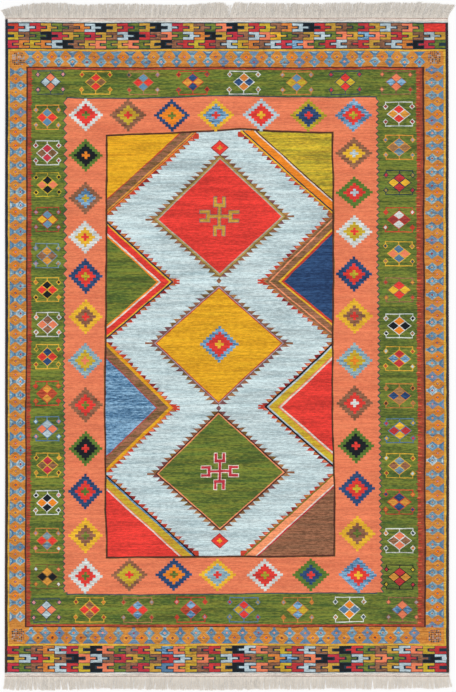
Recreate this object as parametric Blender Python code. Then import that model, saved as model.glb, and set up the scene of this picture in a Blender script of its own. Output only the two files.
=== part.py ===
"""A flat-woven tribal rug laid out flat: one woven sheet, two overcast
selvedges, a twined cord across each end and a comb of warp fringe past it.

Metres, +Z up. The rug rests on z = 0, its length runs along Y and its top end
is at +Y. The origin is under the middle of the whole rug, fringes included.
"""
from math import cos, exp, pi, sin, sqrt

import bmesh
import bpy

# woven sheet
BODY_LENGTH = 2.968             # from cord to cord
BODY_WIDTH = 1.997              # over the selvedges, at the top end
WIDTH_GAIN_LEFT = 0.002         # how far each long edge grows outward
WIDTH_GAIN_RIGHT = 0.006        # by the bottom end
BODY_THICKNESS = 0.0040
EDGE_WANDER = 0.0008            # how far the long edges stray from a true line
EDGE_STEPS = 44                 # straight stretches along a long edge
END_WANDER = 0.0010             # the same for the end lines
END_STEPS = 48

# plain-weave webs at the ends
WEB_TOP = 0.021
WEB_BOTTOM = 0.018
WEB_THICKNESS = 0.0024

# overcast selvedges
SELVEDGE_WIDTH = 0.0115
SELVEDGE_HEIGHT = 0.0056
SELVEDGE_SIDES = 12
LEFT_BINDING_ON_WEB = 0.016     # the left binding runs on beside the top web

# twined cords
CORD_DIAMETER = 0.0034

# fringes, whose longest strand is measured from the middle of the cord
FRINGE_TOP = 0.078
FRINGE_BOTTOM = 0.062
FRINGE_THICKNESS = 0.0030
FRINGE_TEETH = 96
UNEVEN_TOP = 0.17               # how much shorter the shortest tooth is
UNEVEN_BOTTOM = 0.12
NOTCH_SHARE = 0.45              # where teeth part, as a share of their length
NOTCH_WANDER = 0.08             # how much that share strays
TIP_SHARE = 0.62                # a tip's width as a share of a tooth's
TIP_SLANT = 0.05                # how much shorter a tooth is at one side
CLUMP_LEAN = 0.005              # how far the clumps lean to either side

# how far the corner strands reach past the long edges, and how wide they fan
SPREAD_TOP_LEFT = 0.017
SPREAD_TOP_RIGHT = 0.033
SPREAD_BOTTOM_LEFT = 0.007
SPREAD_BOTTOM_RIGHT = 0.008
FAN_LEFT = 0.050
FAN_RIGHT = 0.090
CORNER_SHORT_TOP = 0.45         # the top left corner's strands are shorter
CORNER_SHORT_WIDTH = 0.025

GAP = 0.0003                    # between pieces that touch

# The origin is under the middle of the box that the fringes fill.
BODY_X = (SPREAD_TOP_LEFT - SPREAD_TOP_RIGHT) / 2
BODY_Y = (FRINGE_BOTTOM - FRINGE_TOP) / 2
TOP_END = BODY_Y + BODY_LENGTH / 2
BOTTOM_END = BODY_Y - BODY_LENGTH / 2

COLLECTION_NAME = "bidjar_rug"
SHEET_COLOUR = (0.42, 0.16, 0.06, 1.0)
SELVEDGE_COLOUR = (0.012, 0.011, 0.030, 1.0)
CORD_COLOUR = (0.24, 0.12, 0.08, 1.0)
FRINGE_COLOUR = (0.62, 0.58, 0.51, 1.0)
WOOL_ROUGHNESS = 0.95
FRINGE_ROUGHNESS = 0.9


def empty_scene():
    for item in list(bpy.data.objects):
        bpy.data.objects.remove(item, do_unlink=True)


def new_collection(name):
    collection = bpy.data.collections.new(name)
    bpy.context.scene.collection.children.link(collection)
    return collection


def new_material(name, colour, roughness):
    material = bpy.data.materials.new(name)
    material.use_nodes = True
    material.diffuse_color = colour
    shader = material.node_tree.nodes["Principled BSDF"]
    shader.inputs["Base Color"].default_value = colour
    shader.inputs["Roughness"].default_value = roughness
    shader.inputs["Metallic"].default_value = 0.0
    return material


def left_edge(y):
    """Outer face of the left selvedge at this height of the rug."""
    down = (TOP_END - y) / BODY_LENGTH
    wander = EDGE_WANDER * sin(5 * pi * down) * sin(2 * pi * down)
    return BODY_X - BODY_WIDTH / 2 - WIDTH_GAIN_LEFT * max(down, 0) ** 2 + wander


def right_edge(y):
    """Outer face of the right selvedge at this height of the rug."""
    down = (TOP_END - y) / BODY_LENGTH
    wander = EDGE_WANDER * sin(4 * pi * down)
    return BODY_X + BODY_WIDTH / 2 + WIDTH_GAIN_RIGHT * sqrt(max(down, 0)) + wander


def end_points(end, shift):
    """Points along the end line from left to right, moved by shift along Y."""
    first, last = left_edge(end), right_edge(end)
    points = []
    for i in range(END_STEPS + 1):
        across = i / END_STEPS
        wave = sin(3 * pi * across) * cos(5 * pi * across)
        points.append((first + (last - first) * across, end + END_WANDER * wave + shift))
    return points


def selvedge_span(side):
    """Lowest and highest y of one binding."""
    highest = TOP_END - WEB_TOP
    if side == "left":
        highest += LEFT_BINDING_ON_WEB
    return BOTTOM_END + WEB_BOTTOM, highest


def new_curve(name, points, cyclic, dimensions):
    data = bpy.data.curves.new(name, "CURVE")
    data.dimensions = dimensions
    data.resolution_u = 1
    data.render_resolution_u = 0
    spline = data.splines.new("POLY")
    spline.points.add(len(points) - 1)
    for point, place in zip(spline.points, points):
        x, y, z = (*place, 0.0)[:3]
        point.co = (x, y, z, 1.0)
    spline.use_cyclic_u = cyclic
    return data


def add_object(name, data, collection, material=None):
    item = bpy.data.objects.new(name, data)
    collection.objects.link(item)
    if material:
        data.materials.append(material)
    return item


def add_plate(name, outline, thickness, collection, material):
    """A flat piece with this outline, resting on z = 0, its origin at its middle."""
    middle_x = sum(x for x, y in outline) / len(outline)
    middle_y = sum(y for x, y in outline) / len(outline)
    centred = [(x - middle_x, y - middle_y) for x, y in outline]
    data = new_curve(name, centred, True, "2D")
    data.fill_mode = "BOTH"
    data.extrude = thickness / 2
    plate = add_object(name, data, collection, material)
    plate.location = (middle_x, middle_y, thickness / 2)
    return plate


def made_mesh(item, collection, material):
    """Replaces a curve object with a welded mesh object of the same name."""
    name = item.name
    bpy.context.view_layer.update()
    evaluated = item.evaluated_get(bpy.context.evaluated_depsgraph_get())
    mesh = bpy.data.meshes.new_from_object(evaluated)
    shell = bmesh.new()
    shell.from_mesh(mesh)
    bmesh.ops.remove_doubles(shell, verts=shell.verts, dist=0.00002)
    bmesh.ops.recalc_face_normals(shell, faces=shell.faces)
    shell.to_mesh(mesh)
    shell.free()
    mesh.materials.clear()
    place = item.matrix_world.copy()
    bpy.data.objects.remove(item, do_unlink=True)
    mesh.name = name
    solid = add_object(name, mesh, collection, material)
    solid.matrix_world = place
    return solid


def add_web_cutter(name, low, high, cutters):
    """A box that takes the woven sheet down to the web's thickness."""
    height = BODY_THICKNESS
    bpy.ops.mesh.primitive_cube_add(size=1)
    cutter = bpy.context.object
    cutter.name = name
    cutter.scale = (BODY_WIDTH * 1.2, high - low, height)
    cutter.location = (BODY_X, (low + high) / 2, WEB_THICKNESS + height / 2)
    cutter.hide_render = True
    cutter.display_type = "WIRE"
    for holder in list(cutter.users_collection):
        holder.objects.unlink(cutter)
    cutters.objects.link(cutter)
    return cutter


def body_side(edge, side, inward):
    """One long side of the woven sheet from bottom to top: out at the webs,
    in beside the binding."""
    low, high = selvedge_span(side)
    inset = inward * (SELVEDGE_WIDTH + GAP)
    points = [(edge(low), low)]
    for i in range(EDGE_STEPS + 1):
        y = low + (high - low) * i / EDGE_STEPS
        points.append((edge(y) + inset, y))
    points.append((edge(high), high))
    return points


def add_body(collection, cutters, material):
    clear = CORD_DIAMETER / 2 + GAP
    outline = end_points(BOTTOM_END, clear)
    outline += body_side(right_edge, "right", -1)
    outline += reversed(end_points(TOP_END, -clear))
    outline += reversed(body_side(left_edge, "left", 1))
    plate = add_plate("rug_body", outline, BODY_THICKNESS, collection, material)
    body = made_mesh(plate, collection, material)
    spans = {
        "web_cutter_top": (TOP_END - WEB_TOP, TOP_END + WEB_TOP),
        "web_cutter_bottom": (BOTTOM_END - WEB_BOTTOM, BOTTOM_END + WEB_BOTTOM),
    }
    for name, (low, high) in spans.items():
        cut = body.modifiers.new(name, "BOOLEAN")
        cut.operation = "DIFFERENCE"
        cut.solver = "EXACT"
        cut.object = add_web_cutter(name, low, high, cutters)
    return body


def add_selvedge(side, collection, guides, material):
    """An oval cord along one long edge, wider than it is high."""
    edge, inward = (left_edge, 1) if side == "left" else (right_edge, -1)
    low, high = selvedge_span(side)
    path = []
    for i in range(EDGE_STEPS + 1):
        y = low + (high - low) * i / EDGE_STEPS
        path.append((edge(y) + inward * SELVEDGE_WIDTH / 2, y, SELVEDGE_HEIGHT / 2))
    path[0] = (path[0][0], low + GAP, path[0][2])
    path[-1] = (path[-1][0], high - GAP, path[-1][2])
    oval = []
    for i in range(SELVEDGE_SIDES):
        turn = -2 * pi * i / SELVEDGE_SIDES
        oval.append((cos(turn) * SELVEDGE_WIDTH / 2, sin(turn) * SELVEDGE_HEIGHT / 2))
    profile = add_object("selvedge_profile_" + side,
                         new_curve("selvedge_profile_" + side, oval, True, "2D"), guides)
    profile.hide_render = True
    profile.display_type = "WIRE"
    name = "selvedge_" + side
    data = new_curve(name, path, False, "3D")
    data.twist_mode = "Z_UP"
    data.bevel_mode = "OBJECT"
    data.bevel_object = profile
    data.use_fill_caps = True
    return add_object(name, data, collection, material)


def add_end_cord(name, end, collection, material):
    path = [(x, y, CORD_DIAMETER / 2) for x, y in end_points(end, 0)]
    data = new_curve(name, path, False, "3D")
    data.bevel_depth = CORD_DIAMETER / 2
    data.bevel_resolution = 2
    data.use_fill_caps = True
    return add_object(name, data, collection, material)


def strand_lean(across, width, left_spread, right_spread):
    """How far a strand's tip lies to the right of its root: in clumps along
    the end, and fanned out past the corners."""
    middle = sin(pi * across) ** 0.5
    clumps = 0.6 * sin(38 * across + 1.0) + 0.4 * sin(71 * across)
    left = left_spread * exp(-across * width / FAN_LEFT)
    right = right_spread * exp(-(1 - across) * width / FAN_RIGHT)
    return CLUMP_LEAN * middle * clumps + right - left


def tooth_lengths(longest, uneven, corner_short, width):
    """Length of each tooth; the longest one is exactly as stated."""
    shares = []
    for i in range(FRINGE_TEETH):
        across = i / (FRINGE_TEETH - 1)
        ragged = 0.5 + 0.25 * sin(2.4 * i) + 0.25 * sin(0.37 * i + 2.0)
        corner = corner_short * exp(-across * width / CORNER_SHORT_WIDTH)
        shares.append((1 - uneven * ragged) * (1 - corner))
    return [longest * share / max(shares) for share in shares]


def add_fringe(name, end, outward, longest, uneven, corner_short, spreads,
               collection, material):
    """One comb: a straight root beside the cord and ragged teeth past it."""
    first, last = left_edge(end), right_edge(end)
    width = last - first
    root = outward * (CORD_DIAMETER / 2 + GAP)
    lengths = tooth_lengths(longest, uneven, corner_short, width)
    steps = FRINGE_TEETH - 1 + TIP_SHARE

    def place(step, share, length):
        across = min(max(step / steps, 0.0), 1.0)
        lean = strand_lean(across, width, *spreads)
        return first + width * across + lean * share, end + outward * length * share

    teeth = []
    for i, length in enumerate(lengths):
        slant = TIP_SLANT * (0.5 + 0.5 * sin(1.7 * i))
        teeth.append(place(i, 1 - TIP_SLANT + slant, length))
        teeth.append(place(i + TIP_SHARE, 1 - slant, length))
        if i < FRINGE_TEETH - 1:
            notch = NOTCH_SHARE + NOTCH_WANDER * sin(2.1 * i + 1)
            teeth.append(place(i + (1 + TIP_SHARE) / 2, notch, length))
    outline = end_points(end, root)
    outline += reversed(teeth)
    return add_plate(name, outline, FRINGE_THICKNESS, collection, material)


def main():
    empty_scene()
    rug = new_collection(COLLECTION_NAME)
    cutters = new_collection("cutters")
    sheet = new_material("woven_wool", SHEET_COLOUR, WOOL_ROUGHNESS)
    binding = new_material("binding_wool", SELVEDGE_COLOUR, WOOL_ROUGHNESS)
    twine = new_material("cord_wool", CORD_COLOUR, WOOL_ROUGHNESS)
    warp = new_material("fringe_cotton", FRINGE_COLOUR, FRINGE_ROUGHNESS)

    add_body(rug, cutters, sheet)
    add_selvedge("left", rug, cutters, binding)
    add_selvedge("right", rug, cutters, binding.copy())
    add_end_cord("end_cord_top", TOP_END, rug, twine)
    add_end_cord("end_cord_bottom", BOTTOM_END, rug, twine.copy())
    add_fringe("fringe_top", TOP_END, 1, FRINGE_TOP, UNEVEN_TOP, CORNER_SHORT_TOP,
               (SPREAD_TOP_LEFT, SPREAD_TOP_RIGHT), rug, warp)
    add_fringe("fringe_bottom", BOTTOM_END, -1, FRINGE_BOTTOM, UNEVEN_BOTTOM, 0.0,
               (SPREAD_BOTTOM_LEFT, SPREAD_BOTTOM_RIGHT), rug, warp.copy())


main()
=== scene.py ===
import random
from math import ceil, cos, hypot, pi, sin, sqrt

import bmesh
import bpy
from mathutils.geometry import delaunay_2d_cdt
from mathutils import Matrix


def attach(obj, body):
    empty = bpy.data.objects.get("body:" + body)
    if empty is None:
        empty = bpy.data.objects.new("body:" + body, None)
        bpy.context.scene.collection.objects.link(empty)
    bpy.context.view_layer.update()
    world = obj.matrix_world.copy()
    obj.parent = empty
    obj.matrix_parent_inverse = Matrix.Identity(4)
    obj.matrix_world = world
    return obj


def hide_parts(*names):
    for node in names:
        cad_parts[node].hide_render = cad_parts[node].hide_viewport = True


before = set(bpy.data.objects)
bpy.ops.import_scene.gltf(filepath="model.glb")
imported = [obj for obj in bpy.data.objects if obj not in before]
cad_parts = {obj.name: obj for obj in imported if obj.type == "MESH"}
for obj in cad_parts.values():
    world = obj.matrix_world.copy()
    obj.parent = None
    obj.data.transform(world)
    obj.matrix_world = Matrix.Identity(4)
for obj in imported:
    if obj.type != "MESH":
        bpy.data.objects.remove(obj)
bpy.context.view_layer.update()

# The rug's own sizes, in metres.
rug = {
    "length": 2.968,  # from cord to cord
    "width": 1.997,  # over the selvedges at the top end
    "gainLeft": 0.002,  # how far each long edge grows outward on the way down
    "gainRight": 0.006,
    "edgeWander": 0.0008,
    "endWander": 0.0010,
    "thickness": 0.0040,
    "webThickness": 0.0024,
    "webTop": 0.021,
    "webBottom": 0.018,
    "middleX": -0.008,
    "middleY": -0.008,
    "waves": 0.0012,  # how far the cloth lifts off the floor in low waves
}
topEnd = rug["middleY"] + rug["length"] / 2
bottomEnd = rug["middleY"] - rug["length"] / 2


def leftEdge(y):
    down = (topEnd - y) / rug["length"]
    wander = rug["edgeWander"] * sin(5 * pi * down) * sin(2 * pi * down)
    return rug["middleX"] - rug["width"] / 2 - rug["gainLeft"] * max(down, 0) ** 2 + wander


def rightEdge(y):
    down = (topEnd - y) / rug["length"]
    wander = rug["edgeWander"] * sin(4 * pi * down)
    return rug["middleX"] + rug["width"] / 2 + rug["gainRight"] * sqrt(max(down, 0)) + wander


def endLine(across):
    # how far an end line strays along the rug, at a share of its width
    return rug["endWander"] * sin(3 * pi * across) * cos(5 * pi * across)


def lift(x, y):
    # height of the cloth's underside over the floor
    roll = sin(7.1 * x + 2.3 * y + 0.4) * sin(5.3 * y - 1.7 * x + 1.1)
    return rug["waves"] * max(roll, 0) ** 1.5


def linear(level):
    level /= 255
    return level / 12.92 if level <= 0.04045 else ((level + 0.055) / 1.055) ** 2.4


def dyed(colour):
    return (*[linear(level) for level in colour], 1.0)


# The dyed wools, as red, green and blue up to 255.
yarns = {
    "undyed": (224, 212, 202), "navyLine": (30, 52, 66), "black": (20, 26, 32), "slate": (62, 78, 86),
    "orange": (233, 134, 34), "marigold": (216, 130, 56), "gold": (228, 170, 32),
    "oldGold": (202, 156, 58), "bandOrange": (207, 139, 62), "copper": (197, 127, 61),
    "lineGold": (222, 174, 58), "rust": (180, 78, 48), "sienna": (160, 76, 50),
    "oliveGold": (208, 180, 48), "yellow": (232, 182, 48), "olive": (194, 174, 44),
    "mustard": (196, 174, 46), "green": (117, 127, 48), "salmon": (236, 131, 91), "peach": (243, 150, 105),
    "red": (228, 60, 51), "cherry": (196, 54, 56), "crimson": (194, 52, 66), "maroon": (140, 42, 40),
    "rosewood": (172, 70, 66), "brick": (198, 66, 46), "garnet": (160, 58, 54), "brown": (150, 101, 74),
    "streakedBrown": (154, 102, 77), "oliveBrown": (132, 100, 52), "moss": (122, 112, 42),
    "umber": (84, 44, 34), "khaki": (172, 146, 76), "mist": (168, 156, 158), "chalkMist": (184, 174, 154),
    "mistBrown": (146, 118, 112), "mauveBrown": (128, 84, 86), "tan": (172, 122, 78),
    "sky": (196, 213, 215), "iceBlue": (184, 202, 209), "cobalt": (76, 127, 164),
    "duckEgg": (152, 178, 180), "blue": (128, 166, 194), "denim": (68, 104, 138), "steel": (126, 150, 154),
    "amber": (222, 152, 60), "navy": (46, 77, 118), "violet": (126, 130, 158), "mauve": (176, 140, 158),
    "pink": (232, 150, 150), "white": (216, 220, 216), "chalk": (232, 216, 204), "leaf": (92, 122, 48),
}

areas = []  # what is woven later covers what is under it


def lay(yarn, *points):
    areas.append((yarn, points))


def block(yarn, left, low, right, high):
    lay(yarn, (left, low), (right, low), (right, high), (left, high))


def patch(yarn, x0, y0, x1, y1):
    # a block between any two opposite corners
    block(yarn, min(x0, x1), min(y0, y1), max(x0, x1), max(y0, y1))


def lozenge(x, y, halfWide, halfHigh):
    return [(x - halfWide, y), (x, y - halfHigh), (x + halfWide, y), (x, y + halfHigh)]


def diamond(yarn, x, y, halfWide, halfHigh):
    lay(yarn, *lozenge(x, y, halfWide, halfHigh))


# Everything below is in millimetres from the middle of the woven sheet, +y towards its top end.
sheet = {
    "halfWide": 998.5,
    "halfLong": 1484.0,
    "webTop": 18.5,
    "webBottom": 18.0,
    "selvedge": 11.8,
    "underSelvedge": 0.6,  # the share of a binding's width that the sheet goes in under it
    "leftPastWeb": 16.0,  # the left binding goes on this far beside the top web
}

frames = {  # left, low, right and high side of each band, outside in
    "forks": (-987.0, -1466.0, 987.0, 1463.0),
    "yellowLine": (-985.0, -1345.5, 985.5, 1344.5),
    "orangeBand": (-979.0, -1338.0, 977.0, 1337.0),
    "darkLine": (-904.0, -1262.5, 892.0, 1265.0),
    "redStripe": (-896.5, -1258.0, 883.5, 1259.5),
    "greenBand": (-881.0, -1249.0, 857.0, 1251.5),
    "salmonBand": (-717.0, -1106.0, 671.0, 1119.0),
    "field": (-539.0, -941.0, 478.0, 967.0),
}


# Rows of interlocking forks.
forks = {
    # where the forks part, the navy ground shows as thin dark lines: partly a real contour, partly painted
    # shadow of the slits between colours
    "gap": 2.6,
    "stemReach": 25.0,
    "stemShare": 0.10,  # of the row's height, to each side of its middle
    "prongShare": 0.27,
    "barShare": 0.36,  # of the pitch
    "lineOver": 3,  # how far the dark ground stands out round a row
}

forkRows = [  # low edge, high edge, side the stems point to, yarns from the left
    (1423, 1462, 1,
     "brick iceBlue cherry oldGold green brown marigold iceBlue black oldGold cherry green oldGold black "
     "iceBlue crimson oldGold brown green salmon black oldGold cherry mustard brown marigold iceBlue "
     "black cherry oldGold brown green cherry oldGold iceBlue brown salmon green cherry cherry"),
    (1386, 1423, 1,
     "mustard brown green black crimson oldGold green crimson oldGold brown iceBlue black cherry brown "
     "salmon green iceBlue marigold black oldGold crimson brown iceBlue salmon yellow green brown "
     "oldGold iceBlue green salmon oldGold blue salmon oldGold cherry mustard brown iceBlue oldGold"),
    (1348, 1386, -1,
     "crimson marigold mustard marigold iceBlue black brown oldGold salmon green oldGold salmon green "
     "oldGold black brown cherry mustard cherry brown iceBlue mustard marigold brown iceBlue crimson "
     "blue salmon green cherry iceBlue brown cherry oldGold brown iceBlue marigold black crimson green"),
    (-1383, -1346, -1,
     "cherry green brown marigold iceBlue crimson mustard black salmon green brown cherry oldGold blue "
     "salmon mustard brown cherry oldGold black iceBlue salmon brown mustard cherry iceBlue brown "
     "oldGold black cherry green brown oldGold iceBlue salmon mustard cherry"),
    (-1423, -1383, 1,
     "oldGold iceBlue cherry mustard brown black salmon iceBlue brown crimson oldGold green brown cherry "
     "iceBlue oldGold salmon green iceBlue cherry brown green marigold blue brown salmon black crimson "
     "green iceBlue oldGold salmon green cherry brown black iceBlue"),
    (-1464, -1423, -1,
     "crimson green brown marigold iceBlue cherry mustard black salmon green brown crimson oldGold denim "
     "salmon mustard brown cherry oldGold black iceBlue salmon brown mustard cherry iceBlue brown "
     "oldGold black cherry green brown oldGold iceBlue salmon mustard cherry"),
]


def fork(yarn, x, low, high, side, pitch):
    left, right = frames["forks"][0], frames["forks"][2]
    middle, gap, tall = (low + high) / 2, forks["gap"] / 2, high - low
    near, far = x - side * (pitch / 2 - gap), x + side * (pitch / 2 - gap)
    bar = far - side * pitch * forks["barShare"]
    tip = min(max(far + side * forks["stemReach"], left), right)
    half = tall * forks["stemShare"]
    low, high = low + gap, high - gap
    under, over = low + tall * forks["prongShare"], high - tall * forks["prongShare"]
    lay(yarn, (near, high), (far, high), (far, middle + half), (tip, middle + half),
        (tip, middle - half), (far, middle - half), (far, low), (near, low),
        (near, under), (bar, under), (bar, over), (near, over))


def weaveForks():
    left, right = frames["forks"][0], frames["forks"][2]
    for low, high, side, order in forkRows:
        # the navy ground under each row stands for a real contour line and for painted shadow in the slits
        # where the forks part
        block("navyLine", left, low - forks["lineOver"], right, high + forks["lineOver"])
    for low, high, side, order in forkRows:
        names = order.split()
        pitch = (right - left) / len(names)
        for i, yarn in enumerate(names):
            fork(yarn, left + pitch * (i + 0.5), low, high, side, pitch)


# The orange band: hanging motifs with small diamonds between them.
hangers = {
    "wideOnEnds": 26.0,
    "wideOnSides": 23.2,
    "neck": 6.5,
    "cap": (2, 13, 22),  # depths of the top, the waist and the foot of the triangle
    "middle": 50.0,
    "halfDeep": 20.5,
    "stretchRight": 1.07,  # the right side's ones reach further in
    "spacerWide": 0.8,
    "spacerDepth": 28.0,
    "spacerHalf": 19,
    "spacerRings": (1.0, 0.78, 0.38, 0.24),  # shares of its size, each inside the last
    "eyeRings": (0.64, 0.46, 0.26),
    "plainCorner": 76,
}
hangerYarns = [  # triangle, ring, inner ring
    "cobalt duckEgg denim", "denim duckEgg cobalt", "cobalt steel denim", "denim steel duckEgg",
    "denim cobalt duckEgg", "cobalt violet steel", "steel duckEgg denim", "steel iceBlue cobalt",
    "cobalt duckEgg steel", "cobalt steel duckEgg",
]
hangerRuns = [  # first motif, the way along and the way in, then how many steps of each pitch follow
    ("top", (-884.5, 1337.0), (1, 0), (0, -1),
     [(1, 65.0), (2, 61.6), (4, 65.6), (2, 70.0), (7, 69.5), (10, 67.6)]),
    ("bottom", (-880.4, -1338.0), (1, 0), (0, 1), [(5, 64.6), (20, 70.0)]),
    ("left", (-979.0, 1241.4), (0, -1), (1, 0), [(12, 60.0), (13, 61.4), (15, 62.5)]),
    ("right", (977.0, 1251.3), (0, -1), (-1, 0), [(7, 57.1), (5, 61.2), (13, 61.7), (14, 63.2), (2, 58.2)]),
]


def bandLayer(x, y, along, inward, stretch):
    # lays points that are given as along and inward from a spot on a band's outer edge
    def put(yarn, *points):
        lay(yarn, *[(x + u * along[0] + v * stretch * inward[0], y + u * along[1] + v * stretch * inward[1])
                    for u, v in points])
    return put


def hanger(put, wide, order, dot):
    triangle, ring, inner = order.split()
    wide *= random.uniform(0.92, 1.06)
    neck, middle, deep = hangers["neck"], hangers["middle"], hangers["halfDeep"]
    top, waist, foot = hangers["cap"]
    put(triangle, (-wide, top), (wide, top), (wide * 0.6, waist), (neck + 1, foot), (-neck - 1, foot),
        (-wide * 0.6, waist))
    put(ring, (-wide * 0.55, top + 1.5), (wide * 0.65, top + 3), (wide * 0.2, waist - 1),
        (-wide * 0.25, waist - 2))
    put(inner, (-neck, foot - 2), (neck, foot - 2), (neck, middle - 17), (-neck, middle - 17))
    put(ring, (-wide, middle), (-neck, middle - deep), (neck, middle - deep), (wide, middle),
        (7, middle + deep * 0.8), (neck, middle + deep * 1.25), (-neck, middle + deep * 1.25),
        (-7, middle + deep * 0.8))
    put(inner, (-wide * 0.5, middle + deep * 0.48), (0, middle + deep * 0.2),
        (wide * 0.5, middle + deep * 0.48), (0, middle + deep))
    put(triangle, (-wide * 0.95, middle - 2), (0, middle - deep * 0.6), (wide * 0.3, middle - deep * 0.62),
        (-wide * 0.5, middle - 1))
    for yarn, share in zip((inner, ring, dot), hangers["eyeRings"]):
        put(yarn, *lozenge(0, middle, wide * share, deep * share))


def spacer(put, wide, edge, dot):
    for yarn, share in zip(("copper", edge, "rust", dot), hangers["spacerRings"]):
        put(yarn, *lozenge(0, hangers["spacerDepth"], wide * share, hangers["spacerHalf"] * share))


star = {
    "pitch": 8.2,
    "dot": 4.3,
    "reach": 3,
    "insets": [(40, 40), (-42, 36), (40, -36), (-42, -29)],  # from the band's corners, the low ones first
}
starYarns = ["slate", "steel", "mauveBrown", "brown", "mist", "umber"]


def cornerStar(x, y):
    pitch, reach = star["pitch"], star["reach"]
    for i in range(-reach, reach + 1):
        for j in range(-reach, reach + 1):
            yarn = random.choice(starYarns)
            if abs(i) + abs(j) < 2 * reach:
                diamond(yarn, x + pitch * i, y + pitch * j, star["dot"], star["dot"])


def weaveOrangeBand():
    random.seed(5)
    block("lineGold", *frames["yellowLine"])
    block("bandOrange", *frames["orangeBand"])
    left, low, right, high = frames["orangeBand"]
    for name, (x, y), along, inward, runs in hangerRuns:
        bottom = name == "bottom"
        wide = hangers["wideOnSides"] if name in ("left", "right") else hangers["wideOnEnds"]
        stretch = hangers["stretchRight"] if name == "right" else 1.0
        steps = [pitch for count, pitch in runs for i in range(count)]
        for i in range(len(steps) + 1):
            order = random.choice(hangerYarns[:6] if bottom else hangerYarns)
            dot = random.choice(["orange", "tan", "peach", "rust"])
            hanger(bandLayer(x, y, along, inward, stretch), wide, order, dot)
            if i < len(steps):
                half = steps[i] / 2
                x, y = x + along[0] * half, y + along[1] * half
                edge = random.choice(["orange", "marigold", "amber"])
                dot = random.choice(["slate", "violet"] if bottom else ["mist", "steel", "mauve"])
                spacer(bandLayer(x, y, along, inward, stretch), wide * hangers["spacerWide"], edge, dot)
                x, y = x + along[0] * half, y + along[1] * half
    block("bandOrange", right - hangers["plainCorner"], low, right, low + hangers["plainCorner"])
    corners = ((left, low), (right, low), (left, high), (right, high))
    for (x, y), (dx, dy) in zip(corners, star["insets"]):
        cornerStar(x + dx, y + dy)


# The green band: cartouches of four small diamonds round a large one.
cartouche = {
    "line": 4.2,
    "smallWide": 12.5,
    "smallHigh": 13.5,
    "smallRise": 34.0,
    "smallHeart": 0.62,
    "bracketOver": (2, -3),  # how far its outer and inner side stand past the small ones
    "stemReach": 0.9,  # shares of the large one's half height and width
    "quarterOut": 0.48,
    "quarterWide": 0.43,
    "quarterHigh": 0.42,
}
cartoucheSizes = {  # place across the band, half sizes, how far the small ones stand, bracket up, down
    "top": (1196, 49.0, 42.0, 64, 50, 57),
    "bottom": (-1183, 50.0, 44.5, 63, 57, 58),
    "corner": (0, 47.5, 43.5, 57, 52, 57),
    "left": (-808, 49.5, 44.0, 51, 57, 55),
    "right": (776, 55.0, 43.5, 60, 56, 56),
}
cartoucheRows = {  # place along the band, then yarns of outline, tops, sides and small ones clockwise
    "top": {
        -589: "lineGold red streakedBrown brick brick marigold marigold",
        -374: "tan cobalt red slate mauve mist brick", -151: "brick navy amber maroon mauveBrown",
        77: "white marigold navy tan", 315: "copper cobalt mustard mist", 533: "slate red mustard crimson",
        763: "brown salmon blue salmon salmon brick peach",
    },
    "bottom": {
        -615: "lineGold brown red rust marigold", -399: "tan blue red brick mist",
        -159: "brick blue rust pink brick mauve brick", 77: "denim red mustard crimson khaki",
        318: "copper blue mustard mist marigold", 551: "white orange denim slate tan",
        790: "brown salmon blue salmon mist",
    },
    "corner": {(-795, 1196): "slate salmon iceBlue pink", (-811, -1185): "slate iceBlue salmon pink"},
    "left": {
        1037: "amber cobalt red mist", 877: "white crimson streakedBrown garnet",
        733: "oliveGold black salmon black", 575: "rust cobalt yellow mauve",
        412: "steel amber streakedBrown mist khaki tan mauve", 259: "lineGold black red marigold black",
        101: "white brown salmon salmon brown", -43: "lineGold navy red green rust",
        -208: "brick amber rust brick marigold", -368: "denim iceBlue salmon sky pink",
        -532: "lineGold crimson streakedBrown umber amber",
        -702: "white black orange black pink black tan", -873: "copper steel red mauve mist sky pink",
        -1035: "oliveBrown amber black sky salmon white marigold",
    },
    "right": {
        1051: "white red amber garnet", 901: "amber steel tan steel mist",
        742: "navyLine cherry yellow crimson khaki", 575: "brick white garnet brick white",
        423: "lineGold denim salmon slate tan", 260: "brown red yellow brick amber",
        97: "white orange black tan black", -52: "lineGold cherry blue sky rust",
        -219: "copper tan navy tan umber", -377: "denim yellow cherry crimson lineGold",
        -535: "lineGold steel brown sky rust", -697: "brick navy amber navy marigold",
        -871: "white salmon streakedBrown marigold slate", -1035: "black cherry amber crimson mustard",
    },
}


def weaveCartouche(x, y, order, side):
    outline, tops, sides, *small = order.split()
    place, wide, high, spread, above, below = cartoucheSizes[side]
    line, smallWide, smallHigh = cartouche["line"], cartouche["smallWide"], cartouche["smallHigh"]
    outer, inside = [spread + over for over in cartouche["bracketOver"]]
    for up, rise in ((1, above), (-1, below)):
        edge, inner = y + up * rise, y + up * (rise - line)
        lay(outline, (x - outer, edge), (x + outer, edge), (x + inside, inner), (x - inside, inner))
        patch(outline, x - line / 2, edge, x + line / 2, y + up * high * cartouche["stemReach"])
    for i, (across, up) in enumerate(((-1, 1), (1, 1), (1, -1), (-1, -1))):
        edge = y + up * (above if up > 0 else below)
        cx, cy = x + across * spread, y + up * cartouche["smallRise"]
        heart = cartouche["smallHeart"]
        diamond(outline, cx, cy, smallWide, smallHigh)
        patch(outline, cx - line / 2, cy, cx + line / 2, edge)
        diamond(small[i % len(small)], cx, cy, smallWide * heart, smallHigh * heart)
    diamond(outline, x, y, wide, high)
    out, quarter = cartouche["quarterOut"], (wide * cartouche["quarterWide"], high * cartouche["quarterHigh"])
    for way in (-1, 1):
        diamond(tops, x, y + way * high * out, *quarter)
        diamond(sides, x + way * wide * out, y, *quarter)


lean = {  # of the green band's sides: both go outward on their way down
    "left": (100, 100, 4.5),  # from here down, this far for each step outward, and the most
    "right": (0.5, 400),  # at the middle, and how far for each step outward
    "kinks": (-350, 100),
}


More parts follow.
